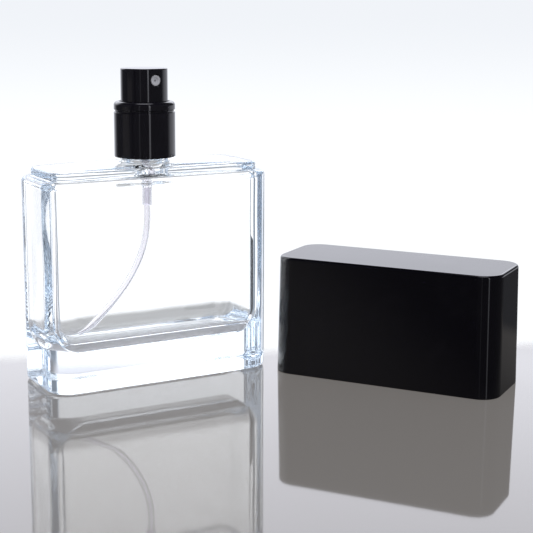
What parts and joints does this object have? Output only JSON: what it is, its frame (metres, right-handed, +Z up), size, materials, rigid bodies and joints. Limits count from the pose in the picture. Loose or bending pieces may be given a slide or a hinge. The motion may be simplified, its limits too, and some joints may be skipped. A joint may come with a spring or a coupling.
{
  "type": "aftershave bottle",
  "caption": "Flat rectangular clear glass aftershave bottle with a thick base and a stepped shoulder, a crimped fine mist spray pump, and a glossy black box cap standing beside it.",
  "frame": {"origin": "middle of the bottle's flat foot, on the surface it stands on", "axes": "+X to the right along the bottle's width, -Y out of its front, which the nozzle faces but for a 6 degree turn towards +X, +Z up along the pump"},
  "size_m": [0.1272, 0.0892, 0.0914],
  "materials": {
    "glass": "polished clear flint glass",
    "gloss_black": "high gloss black",
    "black_plastic": "satin black",
    "clear_plastic": "natural translucent",
    "white_plastic": "natural white",
    "steel": "bright drawn wire and polished ball",
    "aluminium": "satin",
    "rubber": "matt"
  },
  "bodies": {
    "bottle": {"glass_bottle": "glass", "neck_gasket": "rubber", "crimp_ferrule": "aluminium", "collar": "gloss_black", "collar_retainer": "black_plastic", "pump_housing": "clear_plastic", "stem_guide": "white_plastic", "stem_seal": "rubber", "dip_tube": "clear_plastic", "return_spring": "steel"},
    "pump_stem": {"stem": "white_plastic", "piston": "white_plastic", "valve_pin": "white_plastic"},
    "spray_button": {"actuator_shell": "gloss_black", "actuator_core": "black_plastic", "nozzle_insert": "white_plastic"},
    "ball": {"check_ball": "steel"},
    "cap": {"cap_shell": "gloss_black", "cap_insert": "black_plastic"}
  },
  "joints": [
    {"name": "button_press", "type": "slide", "parent": "bottle", "child": "pump_stem", "axis": [0, 0, -1], "range_m": [0, 0.0034], "stiffness_N_per_m": 900, "springref_m": -0.003, "deforming": ["return_spring"]},
    {"name": "button_turn", "type": "hinge", "parent": "pump_stem", "child": "spray_button", "pos_m": [0, 0, 0.0881], "axis": [0, 0, 1], "continuous": true},
    {"name": "check_ball_lift", "type": "slide", "parent": "bottle", "child": "ball", "axis": [0, 0, 1], "range_m": [0, 0.0006]},
    {"name": "cap_lift", "type": "slide", "parent": "bottle", "child": "cap", "axis": [0, 0, 1], "range_m": [0, 0.1]}
  ]
}
